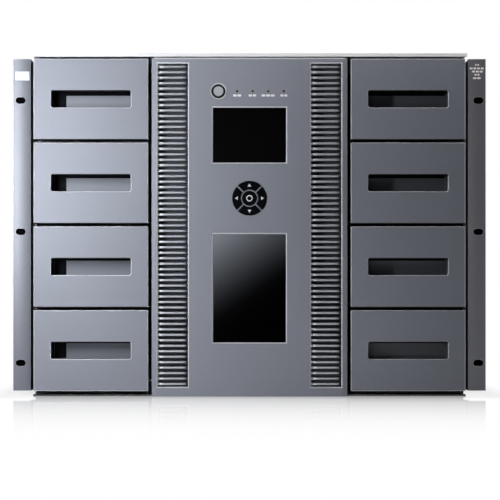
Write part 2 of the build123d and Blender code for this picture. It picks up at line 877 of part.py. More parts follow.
def chassis_screws():
    head = screw_head_shape()
    screws = []
    margin = 2 * screw_head
    side_rows = [case_sheet + margin, case_top - margin]
    for side in (-1, 1):
        for step in range(4):
            y = y_wall + ear_leg + 4 * margin + step * (case_depth - ear_leg - 16 * margin) / 3
            for z in side_rows:
                screws.append(Pos(side * case_half, y, z) * Rot(0, 90 * side, 0) * head)
        leg_y = y_wall + 2 * ear_sheet + ear_leg / 2
        for step in range(3):
            z = ear_base + ear_height * (step + 0.5) / 3
            screws.append(Pos(side * (case_half + ear_sheet), leg_y, z) * Rot(0, 90 * side, 0) * head)
        for step in range(3):
            z = case_height * (step + 2) / 5
            screws.append(Pos(side * (wall_inner - margin), y_back, z) * Rot(-90, 0, 0) * head)
    return screws


nodes = {
    "center_bezel": center_bezel(),
    "vent_grilles": [vent_grille(-vent_spread), vent_grille(vent_spread)],
    "vent_filters": [vent_filter(-vent_spread), vent_filter(vent_spread)],
    "display_glass": glass(display_width, display_height, display_center),
    "viewing_window": glass(window_width, window_height, window_center),
    "status_lights": [rod_along_y(light_radius, x, control_row, y_bezel, y_board) for x in light_positions()],
    "control_board": control_board(),
    "power_button": round_key(power_x, control_row, power_radius, power_flange, y_bezel),
    "key_ok": round_key(0, keypad_center, ok_radius, ok_radius + 2 * key_play, y_key),
    "base_pan": base_pan(),
    "side_wall_left": mirrored(side_wall()),
    "side_wall_right": side_wall(),
    "top_cover": top_cover(),
    "rear_panel": rear_panel(),
    "rack_ear_left": mirrored(rack_ear()),
    "rack_ear_right": rack_ear(),
    "chassis_screws": chassis_screws(),
    "robot_rails": robot_rails(),
    "travel_belt": travel_belt(),
    "travel_motor": travel_motor(),
    "drive_pulley": pulley(y_pulley, motor_face),
    "idler_pulley": pulley(y_idler, motor_face),
    "robot_carriage": robot_carriage(),
    "lift_mast": lift_mast(),
    "lift_screw": lift_screw(),
    "lift_motor": lift_motor(),
    "lift_platform": lift_platform(),
    "picker_cradle": picker_cradle(),
    "gripper": gripper(),
    "barcode_reader": barcode_reader(),
    "drive_cage": drive_cage(),
    "drive_bay_blanks": [bay_blank(bay) for bay in range(drive_count, drive_bays)],
    "controller_module": controller_module(),
    "fan_frame": fan_frame(),
    "fan_rotor": fan_rotor(),
}
for name, turn in key_turns.items():
    nodes["key_" + name] = arc_key(turn)
for index in range(drive_count):
    nodes[f"tape_drive_{index + 1}"] = tape_drive(index)
for index in range(supply_count):
    nodes[f"power_supply_{index + 1}"] = power_supply(index)
shelves = []
for bay in range(bay_count):
    number = bay_count - bay
    face = magazine_face(bay)
    tray = magazine_tray(bay)
    shelf = magazine_shelf(bay)
    nodes[f"magazine_face_right_{number}"] = face
    nodes[f"magazine_face_left_{number}"] = mirrored(face)
    nodes[f"magazine_tray_right_{number}"] = tray
    nodes[f"magazine_tray_left_{number}"] = mirrored(tray)
    shelves += [shelf, mirrored(shelf)]
nodes["magazine_shelves"] = shelves

for name, shape in nodes.items():
    if isinstance(shape, list):
        shape = Compound(children=[solid for item in shape for solid in item.solids()])
    export_step(shape, f"parts/{name}.step")
print(len(nodes), "nodes")
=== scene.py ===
import math

import bpy
import numpy as np
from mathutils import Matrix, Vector


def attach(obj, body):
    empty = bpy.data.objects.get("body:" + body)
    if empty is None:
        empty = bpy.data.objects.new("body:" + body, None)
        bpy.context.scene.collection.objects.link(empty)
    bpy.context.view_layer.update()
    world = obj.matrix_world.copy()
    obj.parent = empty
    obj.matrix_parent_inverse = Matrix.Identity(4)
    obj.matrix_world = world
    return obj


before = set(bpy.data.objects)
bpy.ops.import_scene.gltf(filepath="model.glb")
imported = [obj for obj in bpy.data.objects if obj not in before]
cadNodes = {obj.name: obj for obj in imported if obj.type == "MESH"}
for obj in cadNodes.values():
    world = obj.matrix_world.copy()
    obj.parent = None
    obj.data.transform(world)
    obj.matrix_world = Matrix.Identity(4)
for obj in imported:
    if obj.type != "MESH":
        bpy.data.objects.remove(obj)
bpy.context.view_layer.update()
mm = 0.001
print("frame loaded:", len(cadNodes), "nodes")


def addNode(tree, kind, values=None, **settings):
    # one shader node with its settings and the values of its unlinked sockets
    made = tree.nodes.new(kind)
    for key, value in settings.items():
        setattr(made, key, value)
    for key, value in (values or {}).items():
        made.inputs[key].default_value = value
    return made


def calc(tree, operation, *terms, clamp=False):
    # a Math node, each term a number or another node's output
    made = addNode(tree, "ShaderNodeMath", operation=operation, use_clamp=clamp)
    for socket, term in zip(made.inputs, terms):
        if isinstance(term, (int, float)):
            socket.default_value = term
        else:
            tree.links.new(term, socket)
    return made.outputs[0]


def blendColor(tree, mode, share, first, second):
    # a colour Mix node, each of share, first and second a value or an output
    made = addNode(tree, "ShaderNodeMix", data_type="RGBA", blend_type=mode)
    for socket, term in zip((made.inputs[0], made.inputs[6], made.inputs[7]), (share, first, second)):
        if isinstance(term, (int, float)):
            socket.default_value = term
        elif isinstance(term, tuple):
            socket.default_value = (*term, 1.0)
        else:
            tree.links.new(term, socket)
    return made.outputs[2]


def smoothRange(tree, value, source, target):
    # a value eased from one range into another
    limits = dict(zip(("From Min", "From Max", "To Min", "To Max"), (*source, *target)))
    made = addNode(tree, "ShaderNodeMapRange", limits, interpolation_type="SMOOTHSTEP")
    tree.links.new(value, made.inputs["Value"])
    return made.outputs[0]


def both(tree, first, second):
    # 1 where two masks are 1
    return calc(tree, "MULTIPLY", first, second)


def distance(tree, first, second):
    # the length of two offsets at right angles
    squares = [calc(tree, "MULTIPLY", offset, offset) for offset in (first, second)]
    return calc(tree, "SQRT", calc(tree, "ADD", *squares))


def mixShaders(tree, share, first, second):
    # a Mix Shader node between two shader nodes
    made = addNode(tree, "ShaderNodeMixShader")
    for socket, term in zip(made.inputs, (share, first.outputs[0], second.outputs[0])):
        tree.links.new(term, socket)
    return made


def newGroup(name, inputs, outputs):
    # an empty node group with named sockets
    group = bpy.data.node_groups.new(name, "ShaderNodeTree")
    kinds = {"value": "NodeSocketFloat", "vector": "NodeSocketVector"}
    for label, kind, start in inputs:
        group.interface.new_socket(label, in_out="INPUT", socket_type=kinds[kind]).default_value = start
    for label, kind in outputs:
        group.interface.new_socket(label, in_out="OUTPUT", socket_type=kinds[kind])
    return group, group.nodes.new("NodeGroupInput").outputs, group.nodes.new("NodeGroupOutput").inputs


noiseMean = 0.5
grainNoise = {"fine": {"Detail": 2.0, "Roughness": 0.6}, "cloud": {"Detail": 1.0, "Scale": 14.0},
              "fineShare": 2.0, "height": 0.0004}


def makeGrainGroup():
    # fine speckle over slow clouds, as a shade round 1 and a bumped normal
    group, given, result = newGroup(
        "fineGrain",
        [("Scale", "value", 900.0), ("Contrast", "value", 0.05), ("Depth", "value", 0.02)],
        [("Shade", "value"), ("Normal", "vector")],
    )
    place = addNode(group, "ShaderNodeTexCoord").outputs["Object"]
    fine = addNode(group, "ShaderNodeTexNoise", grainNoise["fine"])
    cloud = addNode(group, "ShaderNodeTexNoise", grainNoise["cloud"])
    bump = addNode(group, "ShaderNodeBump", {"Distance": grainNoise["height"]})
    for noise in (fine, cloud):
        group.links.new(place, noise.inputs["Vector"])
    group.links.new(given["Scale"], fine.inputs["Scale"])
    speckle = calc(group, "SUBTRACT", fine.outputs[0], noiseMean)
    speckle = calc(group, "MULTIPLY", speckle, grainNoise["fineShare"])
    spread = calc(group, "ADD", speckle, calc(group, "SUBTRACT", cloud.outputs[0], noiseMean))
    group.links.new(calc(group, "MULTIPLY_ADD", spread, given["Contrast"], 1.0), result["Shade"])
    group.links.new(fine.outputs[0], bump.inputs["Height"])
    group.links.new(given["Depth"], bump.inputs["Strength"])
    group.links.new(bump.outputs[0], result["Normal"])
    return group


rubWearAndHighlight = {"samples": 4, "speckle": {"Scale": 300.0, "Detail": 2.0}, "sharpness": 7.0, "least": 0.35}


def makeRubAndHighlightGroup():
    # paint rubbed thin on edges, lighter, both wear and a painted highlight along them: where the rounded
    # normal leaves the face normal
    group, given, result = newGroup(
        "edgeRubAndHighlight", [("Width", "value", 0.0008), ("Amount", "value", 0.5)], [("Mask", "value")]
    )
    rounded = addNode(group, "ShaderNodeBevel", samples=rubWearAndHighlight["samples"])
    flat = addNode(group, "ShaderNodeNewGeometry")
    dot = addNode(group, "ShaderNodeVectorMath", operation="DOT_PRODUCT")
    speckle = addNode(group, "ShaderNodeTexNoise", rubWearAndHighlight["speckle"])
    group.links.new(addNode(group, "ShaderNodeTexCoord").outputs["Object"], speckle.inputs["Vector"])
    group.links.new(given["Width"], rounded.inputs["Radius"])
    group.links.new(rounded.outputs[0], dot.inputs[0])
    group.links.new(flat.outputs["Normal"], dot.inputs[1])
    turned = calc(group, "SUBTRACT", 1.0, dot.outputs["Value"])
    bend = calc(group, "MULTIPLY", turned, rubWearAndHighlight["sharpness"], clamp=True)
    edgeMask = calc(group, "MULTIPLY", bend, calc(group, "ADD", speckle.outputs[0], rubWearAndHighlight["least"], clamp=True))
    group.links.new(calc(group, "MULTIPLY", edgeMask, given["Amount"], clamp=True), result["Mask"])
    return group


dustFilm = {"patches": {"Scale": 22.0, "Detail": 5.0}, "steepness": 2.0, "color": (0.42, 0.41, 0.39)}


def makeDustGroup():
    # a thin film on faces that look up, thicker in patches
    group, given, result = newGroup("dustFilm", [("Amount", "value", 0.1)], [("Mask", "value")])
    facing = addNode(group, "ShaderNodeSeparateXYZ")
    group.links.new(addNode(group, "ShaderNodeNewGeometry").outputs["Normal"], facing.inputs[0])
    patches = addNode(group, "ShaderNodeTexNoise", dustFilm["patches"])
    group.links.new(addNode(group, "ShaderNodeTexCoord").outputs["Object"], patches.inputs["Vector"])
    upward = calc(group, "POWER", calc(group, "MAXIMUM", facing.outputs["Z"], 0.0), dustFilm["steepness"])
    film = calc(group, "MULTIPLY", upward, patches.outputs[0])
    group.links.new(calc(group, "MULTIPLY", film, given["Amount"], clamp=True), result["Mask"])
    return group


zincGloss = {"spread": 0.18, "least": 0.34}


def makeSpangleGroup():
    # zinc crystals: every cell has its own grey and its own gloss
    group, given, result = newGroup(
        "zincSpangle",
        [("Scale", "value", 110.0), ("Contrast", "value", 0.1)],
        [("Shade", "value"), ("Roughness", "value")],
    )
    place = addNode(group, "ShaderNodeTexCoord").outputs["Object"]
    cells = addNode(group, "ShaderNodeTexVoronoi", {"Randomness": 1.0})
    parts = addNode(group, "ShaderNodeSeparateColor")
    group.links.new(place, cells.inputs["Vector"])
    group.links.new(given["Scale"], cells.inputs["Scale"])
    group.links.new(cells.outputs["Color"], parts.inputs[0])
    lean = calc(group, "SUBTRACT", parts.outputs[0], noiseMean)
    gloss = calc(group, "MULTIPLY_ADD", parts.outputs[1], zincGloss["spread"], zincGloss["least"])
    group.links.new(calc(group, "MULTIPLY_ADD", lean, given["Contrast"], 1.0), result["Shade"])
    group.links.new(gloss, result["Roughness"])
    return group


brushGloss = {"spread": 0.3, "middle": 0.3}


def makeBrushGroup():
    # grinding lines: noise stretched far along one direction
    group, given, result = newGroup(
        "brushedLines",
        [("Stretch", "vector", (1500.0, 20.0, 1500.0)), ("Contrast", "value", 0.1)],
        [("Shade", "value"), ("Roughness", "value")],
    )
    scaled = addNode(group, "ShaderNodeVectorMath", operation="MULTIPLY")
    lines = addNode(group, "ShaderNodeTexNoise", {"Scale": 1.0, "Detail": 2.0})
    group.links.new(addNode(group, "ShaderNodeTexCoord").outputs["Object"], scaled.inputs[0])
    group.links.new(given["Stretch"], scaled.inputs[1])
    group.links.new(scaled.outputs[0], lines.inputs["Vector"])
    lean = calc(group, "SUBTRACT", lines.outputs[0], noiseMean)
    gloss = calc(group, "MULTIPLY_ADD", lean, brushGloss["spread"], brushGloss["middle"])
    group.links.new(calc(group, "MULTIPLY_ADD", lean, given["Contrast"], 1.0), result["Shade"])
    group.links.new(gloss, result["Roughness"])
    return group


grainGroup = makeGrainGroup()
rubAndHighlightGroup = makeRubAndHighlightGroup()
dustGroup = makeDustGroup()
spangleGroup = makeSpangleGroup()
brushGroup = makeBrushGroup()


def placeGroup(tree, group, values):
    made = addNode(tree, "ShaderNodeGroup", node_tree=group)
    for key, value in values.items():
        made.inputs[key].default_value = value
    return made.outputs


def startFinish(name, look):
    # a Principled material whose colour runs through shade, print, rubbed edges and dust in turn
    material = bpy.data.materials.new(name)
    material.use_nodes = True
    tree = material.node_tree
    shader = tree.nodes["Principled BSDF"]
    shader.inputs["Metallic"].default_value = look.get("metallic", 0.0)
    shader.inputs["Roughness"].default_value = look["roughness"]
    shader.inputs["Specular IOR Level"].default_value = look.get("specular", 0.5)
    shader.inputs["Coat Weight"].default_value = look.get("coat", 0.0)
    shader.inputs["Coat Roughness"].default_value = look.get("coatRoughness", 0.1)
    color = look["color"]
    scale, contrast, depth = look["grain"]
    grain = placeGroup(tree, grainGroup, {"Scale": scale, "Contrast": contrast, "Depth": depth})
    tree.links.new(grain["Normal"], shader.inputs["Normal"])
    color = blendColor(tree, "MULTIPLY", 1.0, color, grain["Shade"])
    pattern = None
    if "spangle" in look:
        pattern = placeGroup(tree, spangleGroup, dict(zip(("Scale", "Contrast"), look["spangle"])))
    if "brush" in look:
        pattern = placeGroup(tree, brushGroup, dict(zip(("Stretch", "Contrast"), look["brush"])))
    if pattern:
        color = blendColor(tree, "MULTIPLY", 1.0, color, pattern["Shade"])
        tree.links.new(pattern["Roughness"], shader.inputs["Roughness"])
    return {"material": material, "tree": tree, "shader": shader, "color": color, "look": look}


def printMask(state, mask, color):
    # lays a printed or moulded-in colour over the finish where the mask is 1
    state["color"] = blendColor(state["tree"], "MIX", mask, state["color"], color)


def endFinish(state):
    tree, look = state["tree"], state["look"]
    # rubbed edges: a lighter colour along every edge, both wear and a painted highlight
    if "rubAndHighlight" in look:
        width, amount, color = look["rubAndHighlight"]
        rubAndHighlight = placeGroup(tree, rubAndHighlightGroup, {"Width": width, "Amount": amount})
        state["color"] = blendColor(tree, "MIX", rubAndHighlight["Mask"], state["color"], color)
    if "dust" in look:
        dust = placeGroup(tree, dustGroup, {"Amount": look["dust"]})
        state["color"] = blendColor(tree, "MIX", dust["Mask"], state["color"], dustFilm["color"])
    tree.links.new(state["color"], state["shader"].inputs["Base Color"])
    return state["material"]


def makeFinish(name, look):
    return endFinish(startFinish(name, look))


def dress(material, *names):
    for name in names:
        cadNodes[name].data.materials.clear()
        cadNodes[name].data.materials.append(material)


def sides(stem):
    return [f"{stem}_{side}_{bay}" for side in ("left", "right") for bay in range(1, 5)]


def objectPlace(tree):
    # the three Object coordinates, in metres
    split = addNode(tree, "ShaderNodeSeparateXYZ")
    tree.links.new(addNode(tree, "ShaderNodeTexCoord").outputs["Object"], split.inputs[0])
    return split.outputs


# front: one metallic paint on faces, bezel and ears
frontPaint = {
    "color": (0.245, 0.255, 0.297), "metallic": 0.12, "roughness": 0.55, "specular": 0.35,
    "grain": (900.0, 0.09, 0.03), "rubAndHighlight": (0.0008, 0.55, (0.62, 0.63, 0.66)),
}
bevelHighlight = {"from": 0.35, "to": 0.95, "color": (0.86, 0.87, 0.91), "amount": 0.85}
pocketPaintedShade = {"depth": -0.3905, "color": (0.215, 0.226, 0.262), "right": (0.115, 0.118, 0.132),
               "paintedShadow": (0.004, 0.004, 0.005), "base": 0.0056, "pitch": 0.0844, "top": 0.0477,
               "under": -0.3, "lowEdge": 0.02, "wedge": -0.1874}


def bevelMask(tree, look):
    # 1 where a face leans away from the front, as the bevels round the openings do
    lean = addNode(tree, "ShaderNodeSeparateXYZ")
    tree.links.new(addNode(tree, "ShaderNodeNewGeometry").outputs["Normal"], lean.inputs[0])
    ahead = calc(tree, "MULTIPLY", lean.outputs["Y"], -1.0)
    past = calc(tree, "GREATER_THAN", ahead, look["from"])
    inside = both(tree, past, calc(tree, "LESS_THAN", ahead, look["to"]))
    return calc(tree, "MULTIPLY", inside, look["amount"]), lean.outputs


bezelPaint = {**frontPaint, "color": (0.262, 0.272, 0.314)}
bezelFinish = startFinish("front_silver", bezelPaint)
# painted highlight: the bevels round the bezel's openings in a pale colour
printMask(bezelFinish, bevelMask(bezelFinish["tree"], bevelHighlight)[0], bevelHighlight["color"])
dress(endFinish(bezelFinish), "center_bezel")

# faces: painted highlight on the bevels, painted shade in the pockets, painted shadow on the lower edges
faceFinish = startFinish("face_silver", frontPaint)
tree = faceFinish["tree"]
# painted highlight: the bevels of the faces in a pale colour
highlightMask, lean = bevelMask(tree, bevelHighlight)
printMask(faceFinish, highlightMask, bevelHighlight["color"])
place = objectPlace(tree)
# painted shade: the pockets' back walls darker than the face, darker still on the right-hand magazines
deep = calc(tree, "GREATER_THAN", place["Y"], pocketPaintedShade["depth"])
printMask(faceFinish, deep, pocketPaintedShade["color"])
printMask(faceFinish, both(tree, deep, calc(tree, "GREATER_THAN", place["X"], 0.0)), pocketPaintedShade["right"])
# painted shadow: near black in a band under each pocket's top edge, on down-facing bevels higher than 2 cm,
# and in a wedge at the left end of the left pockets
inBay = calc(tree, "MODULO", calc(tree, "SUBTRACT", place["Z"], pocketPaintedShade["base"]), pocketPaintedShade["pitch"])
above = both(tree, deep, calc(tree, "GREATER_THAN", inBay, pocketPaintedShade["top"]))
under = calc(tree, "LESS_THAN", lean["Z"], pocketPaintedShade["under"])
below = both(tree, under, calc(tree, "GREATER_THAN", place["Z"], pocketPaintedShade["lowEdge"]))
wedge = both(tree, deep, calc(tree, "LESS_THAN", place["X"], pocketPaintedShade["wedge"]))
shaded = calc(tree, "MAXIMUM", calc(tree, "MAXIMUM", above, below), wedge)
printMask(faceFinish, shaded, pocketPaintedShade["paintedShadow"])
# fully metallic in the painted shadow, so that it reflects almost nothing and stays black
metallic = calc(tree, "MAXIMUM", shaded, frontPaint["metallic"])
tree.links.new(metallic, faceFinish["shader"].inputs["Metallic"])
dress(endFinish(faceFinish), *sides("magazine_face"))

# ears: a shallow crown across each strip, its height falling with the square of the distance from the crest
earPaint = {**frontPaint, "color": (0.157, 0.163, 0.187), "metallic": 0.3, "roughness": 0.42,
            "grain": (700.0, 0.06, 0.03), "dust": 0.1}
earCrown = {"left": -0.2380, "right": 0.2235, "radius": 0.062}
earFinish = startFinish("ear_silver", earPaint)
tree = earFinish["tree"]
along = objectPlace(tree)["X"]
onRight = calc(tree, "GREATER_THAN", along, 0.0)
crest = calc(tree, "MULTIPLY_ADD", onRight, earCrown["right"] - earCrown["left"], earCrown["left"])
offset = calc(tree, "SUBTRACT", along, crest)
crown = addNode(tree, "ShaderNodeBump", {"Strength": 1.0, "Distance": 1.0})
drop = calc(tree, "DIVIDE", calc(tree, "MULTIPLY", offset, offset), -2.0 * earCrown["radius"])
tree.links.new(drop, crown.inputs["Height"])
earNormal = earFinish["shader"].inputs["Normal"]
tree.links.new(earNormal.links[0].from_socket, crown.inputs["Normal"])
tree.links.new(crown.outputs[0], earNormal)
dress(endFinish(earFinish), "rack_ear_left", "rack_ear_right")

# vents: slats with a painted highlight on their left ends and painted shade on their right ends
ventPaint = {**frontPaint, "color": (0.40, 0.41, 0.45), "metallic": 0.4, "roughness": 0.4,
             "grain": (1600.0, 0.06, 0.03)}
slatPaintedLight = {"middle": 0.0771, "left": (-0.0150, -0.0075), "right": (0.0085, 0.0150),
            "bright": (0.95, 0.95, 0.97), "dark": (0.10, 0.10, 0.115)}
ventFinish = startFinish("vent_grey", ventPaint)
tree = ventFinish["tree"]
along = objectPlace(tree)["X"]
middle = calc(tree, "MULTIPLY", calc(tree, "SIGN", along), slatPaintedLight["middle"])
offset = calc(tree, "SUBTRACT", along, middle)
for end, shares, color in (("left", (1.0, 0.0), "bright"), ("right", (0.0, 1.0), "dark")):
    printMask(ventFinish, smoothRange(tree, offset, slatPaintedLight[end], shares), slatPaintedLight[color])
dress(endFinish(ventFinish), "vent_grilles")

filterFoam = {"color": (0.13, 0.135, 0.15), "roughness": 0.95, "specular": 0.05,
              "grain": (1400.0, 0.4, 0.8)}
dress(makeFinish("filter_grey", filterFoam), "vent_filters")

displayGloss = {"color": (0.0012, 0.001, 0.0012), "roughness": 0.3, "specular": 0.03,
                "grain": (40.0, 0.2, 0.0)}
dress(makeFinish("display_black", displayGloss), "display_glass")

windowGloss = {"color": (0.0008, 0.0008, 0.0011), "roughness": 0.06, "specular": 0.6,
               "grain": (30.0, 0.2, 0.0)}
dress(makeFinish("smoked_window", windowGloss), "viewing_window")

# inside of the magazines and the picking robot
trayPlastic = {"color": (0.028, 0.029, 0.032), "roughness": 0.5, "grain": (2200.0, 0.12, 0.12),
               "rubAndHighlight": (0.0006, 0.25, (0.11, 0.11, 0.115)), "dust": 0.12}
dress(makeFinish("tray_black", trayPlastic), *sides("magazine_tray"))

pickerPlastic = {"color": (0.16, 0.165, 0.175), "roughness": 0.45, "grain": (1800.0, 0.08, 0.08),
                 "rubAndHighlight": (0.0006, 0.3, (0.32, 0.32, 0.33))}
dress(makeFinish("picker_grey", pickerPlastic), "picker_cradle", "gripper")

robotAlloy = {"color": (0.56, 0.57, 0.585), "metallic": 1.0, "roughness": 0.38,
              "grain": (1500.0, 0.06, 0.03), "brush": ((60.0, 60.0, 1800.0), 0.12),
              "rubAndHighlight": (0.0006, 0.4, (0.75, 0.75, 0.76))}
dress(makeFinish("robot_aluminium", robotAlloy), "robot_carriage", "lift_mast", "lift_platform",
      "drive_pulley", "idler_pulley")

groundSteel = {"color": (0.58, 0.58, 0.585), "metallic": 1.0, "roughness": 0.22,
               "grain": (900.0, 0.05, 0.01), "brush": ((900.0, 40.0, 900.0), 0.1)}
dress(makeFinish("bright_steel", groundSteel), "robot_rails", "lift_screw", "chassis_screws")

motorBlack = {"color": (0.025, 0.025, 0.027), "roughness": 0.42, "grain": (1500.0, 0.1, 0.08),
              "rubAndHighlight": (0.0007, 0.3, (0.12, 0.12, 0.12))}
dress(makeFinish("motor_black", motorBlack), "travel_motor", "lift_motor", "barcode_reader")

beltRubber = {"color": (0.022, 0.022, 0.022), "roughness": 0.75, "grain": (1200.0, 0.2, 0.2), "dust": 0.2}
dress(makeFinish("belt_rubber", beltRubber), "travel_belt")

# case of galvanised sheet, modules at the rear
caseZinc = {"color": (0.5, 0.51, 0.53), "metallic": 0.85, "roughness": 0.42, "grain": (600.0, 0.05, 0.02),
            "spangle": (95.0, 0.16), "rubAndHighlight": (0.0007, 0.4, (0.68, 0.68, 0.69)), "dust": 0.16}
# painted shade: the front edges of the case, seen in the gaps beside the magazines, in near black
frontEdgePaintedShade = {"depth": -0.3615, "color": (0.006, 0.006, 0.007)}
caseFinish = startFinish("case_steel", caseZinc)
tree = caseFinish["tree"]
printMask(caseFinish, calc(tree, "LESS_THAN", objectPlace(tree)["Y"], frontEdgePaintedShade["depth"]), frontEdgePaintedShade["color"])
dress(endFinish(caseFinish), "base_pan", "side_wall_left", "side_wall_right", "rear_panel",
      "magazine_shelves", "drive_cage", "drive_bay_blanks")

coverPaint = {"color": (0.82, 0.82, 0.83), "roughness": 0.45, "coat": 0.15, "specular": 0.3,
              "grain": (800.0, 0.03, 0.03), "dust": 0.1}
dress(makeFinish("cover_pale", coverPaint), "top_cover")

moduleZinc = {**caseZinc, "color": (0.33, 0.335, 0.35), "spangle": (160.0, 0.12)}
dress(makeFinish("module_steel", moduleZinc), "tape_drive_1", "tape_drive_2", "power_supply_1",
      "power_supply_2", "controller_module")

fanPlastic = {"color": (0.02, 0.02, 0.021), "roughness": 0.45, "grain": (1700.0, 0.12, 0.08), "dust": 0.2}
dress(makeFinish("fan_black", fanPlastic), "fan_frame", "fan_rotor")

boardGreen = {"color": (0.035, 0.12, 0.06), "roughness": 0.35, "grain": (500.0, 0.2, 0.05)}
dress(makeFinish("board_green", boardGreen), "control_board")

# keys with four arrows and a ring: mirrored into one quarter, an arrow is the wedge that narrows outward
keyMark = {"center": 0.1995, "front": -0.3973, "base": 0.0117, "tip": 0.0147, "taper": 0.6,
           "ring": (0.0027, 0.0005), "color": (0.78, 0.78, 0.8)}
keyGloss = {"color": (0.0015, 0.0017, 0.0026), "roughness": 0.25, "specular": 0.04,
            "grain": (1400.0, 0.15, 0.03)}
keyFinish = startFinish("key_black", keyGloss)
tree = keyFinish["tree"]
place = objectPlace(tree)
across = calc(tree, "ABSOLUTE", place["X"])
upward = calc(tree, "ABSOLUTE", calc(tree, "SUBTRACT", place["Z"], keyMark["center"]))
far = calc(tree, "MAXIMUM", across, upward)
near = calc(tree, "MINIMUM", across, upward)
slope = calc(tree, "MULTIPLY", calc(tree, "SUBTRACT", keyMark["tip"], far), keyMark["taper"])
arrow = both(tree, calc(tree, "GREATER_THAN", far, keyMark["base"]), calc(tree, "LESS_THAN", near, slope))
ring = calc(tree, "COMPARE", distance(tree, far, near), *keyMark["ring"])
onFront = calc(tree, "LESS_THAN", place["Y"], keyMark["front"])
printMask(keyFinish, both(tree, calc(tree, "MAXIMUM", arrow, ring), onFront), keyMark["color"])
dress(endFinish(keyFinish), "key_ok", "key_up", "key_down", "key_left", "key_right")

# power button: pale middle, a black border as painted shade of the gap round it
buttonPale = {"color": (0.46, 0.46, 0.49), "metallic": 0.3, "roughness": 0.35, "grain": (1500.0, 0.06, 0.03)}
buttonGapShade = {"center": (-0.0312, 0.3071), "radius": 0.0049, "color": (0.004, 0.004, 0.005)}
buttonFinish = startFinish("button_pale", buttonPale)
tree = buttonFinish["tree"]
place = objectPlace(tree)
offsets = [calc(tree, "SUBTRACT", place[axis], middle) for axis, middle in zip("XZ", buttonGapShade["center"])]
border = calc(tree, "GREATER_THAN", distance(tree, *offsets), buttonGapShade["radius"])
printMask(buttonFinish, border, buttonGapShade["color"])
dress(endFinish(buttonFinish), "power_button")

# status lights: one dark lens colour per place along the row
lightTint = {"first": -0.0124, "pitch": 0.01563,
             "colors": ((0.018, 0.045, 0.014), (0.040, 0.045, 0.014), (0.085, 0.042, 0.010),
                        (0.11, 0.030, 0.012))}
lightLens = {"color": lightTint["colors"][0], "roughness": 0.2, "grain": (2000.0, 0.1, 0.02), "coat": 0.5}
lightFinish = startFinish("light_clear", lightLens)
tree = lightFinish["tree"]
along = objectPlace(tree)["X"]
for index, tint in enumerate(lightTint["colors"][1:]):
    border = lightTint["first"] + (index + 0.5) * lightTint["pitch"]
    printMask(lightFinish, calc(tree, "GREATER_THAN", along, border), tint)
dress(endFinish(lightFinish), "status_lights")
print("finishes made")


def roundedLoop(width, height, corner, inset, count=48):
    # rounded rectangle: a corner circle moved to the four corners by the signs of its cosine and sine
    angle = (np.arange(count) + 0.5) * 2.0 * np.pi / count
    wide, high = np.cos(angle), np.sin(angle)
    return np.stack([np.sign(wide) * (width / 2 - corner) + (corner - inset) * wide,
                     np.sign(high) * (height / 2 - corner) + (corner - inset) * high], axis=1)


def uprightLoop(loop, center, y):
    # a loop of (x, z) points moved to its center and stood at depth y
    return np.stack([loop[:, 0] + center[0], np.full(len(loop), y), loop[:, 1] + center[1]], axis=1)


def ringSolid(loops):
    # a closed surface through rings of equal count, each end drawn together to the mean of its ring
    rings = np.asarray(loops)
    levels, count = rings.shape[:2]
    points = np.concatenate([rings.reshape(-1, 3), rings[0].mean(0)[None], rings[-1].mean(0)[None]])
    level, step = np.meshgrid(np.arange(levels - 1), np.arange(count), indexing="ij")
    following = (step + 1) % count
    quads = np.stack([level * count + step, level * count + following,
                      (level + 1) * count + following, (level + 1) * count + step], axis=-1).reshape(-1, 4)
    step = np.arange(count)
    following = (step + 1) % count
    last = (levels - 1) * count
    first = np.stack([np.full(count, levels * count), following, step], axis=1)
    final = np.stack([np.full(count, levels * count + 1), last + step, last + following], axis=1)
    # the signed volume tells which way the faces look
    a, b, c, d = (points[quads[:, k]] for k in range(4))
    volume = (np.cross(b - a, c - a) * a).sum() + (np.cross(c - a, d - a) * a).sum()
    for fan in (first, final):
        a, b, c = (points[fan[:, k]] for k in range(3))
        volume += (np.cross(b - a, c - a) * a).sum()
    flip = slice(None, None, -1) if volume < 0 else slice(None)
    return points, [face[flip] for block in (quads, first, final) for face in block.tolist()]


def addPiece(name, solids, material, body):
    # one mesh from several closed surfaces, carried by a body
    points, faces, start = [], [], 0
    for block, corners in solids:
        points.append(block)
        faces += [[start + corner for corner in face] for face in corners]
        start += len(block)
    mesh = bpy.data.meshes.new(name)
    mesh.from_pydata(np.concatenate(points).tolist(), [], faces)
    mesh.materials.append(material)
    made = bpy.data.objects.new(name, mesh)
    bpy.context.scene.collection.objects.link(made)
    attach(made, body)


def flatPlate(center, size, corner, depths, edge, bend=0.3):
    # a thin plate on a plane: back ring, side, rounded outer edge, outer face
    back, front = depths
    way = math.copysign(edge, back - front)
    course = ((edge, back), (0.0, back), (0.0, front + way), (edge * bend, front + way * bend), (edge, front))
    return ringSolid([uprightLoop(roundedLoop(*size, corner, inset), center, y) for inset, y in course])


# planes that the small pieces stand on
earFront = -0.38065
bezelFront = -0.39765
moduleBack = 0.38285

# blank white plate on the left ear
earPlate = {"center": (-0.2308, 0.3250), "size": (0.0146, 0.0092), "corner": 0.0008,
            "thick": 0.0004, "edge": 0.00015}
plateWhite = {"color": (0.55, 0.55, 0.56), "roughness": 0.4, "grain": (900.0, 0.04, 0.02)}
addPiece("ear_plate", [flatPlate(earPlate["center"], earPlate["size"], earPlate["corner"],
                                 (earFront, earFront - earPlate["thick"]), earPlate["edge"])],
         makeFinish("plate_white", plateWhite), "case")

